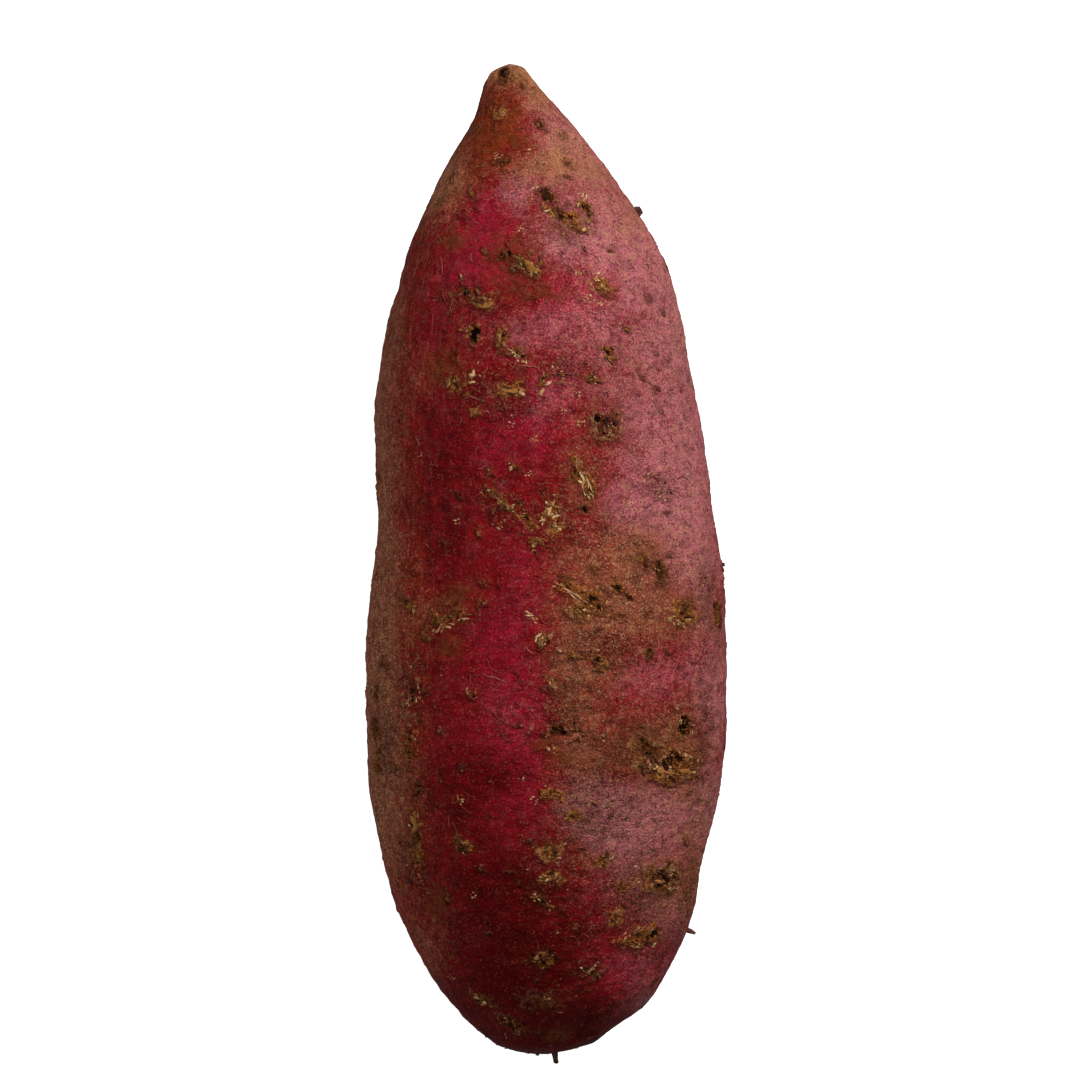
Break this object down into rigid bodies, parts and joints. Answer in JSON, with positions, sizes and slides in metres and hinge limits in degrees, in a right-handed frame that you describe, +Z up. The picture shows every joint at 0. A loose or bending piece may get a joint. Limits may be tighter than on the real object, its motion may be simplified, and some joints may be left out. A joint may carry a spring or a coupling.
{
  "type": "sweet potato",
  "caption": "Whole red-skinned sweet potato, a long plump root with a pointed stem end and a blunt tail, lying on its side on a small flat spot.",
  "frame": {"origin": "under the middle of the root's bounding box, on the surface that it rests on", "axes": "+Y runs along the root towards the pointed stem end, +X is to the right seen from above, +Z is up"},
  "size_m": [0.0654, 0.1826, 0.061],
  "materials": {
    "skin": "matte thin root skin with corky scars"
  },
  "bodies": {
    "root": {"sweet_potato": "skin"}
  },
  "joints": []
}
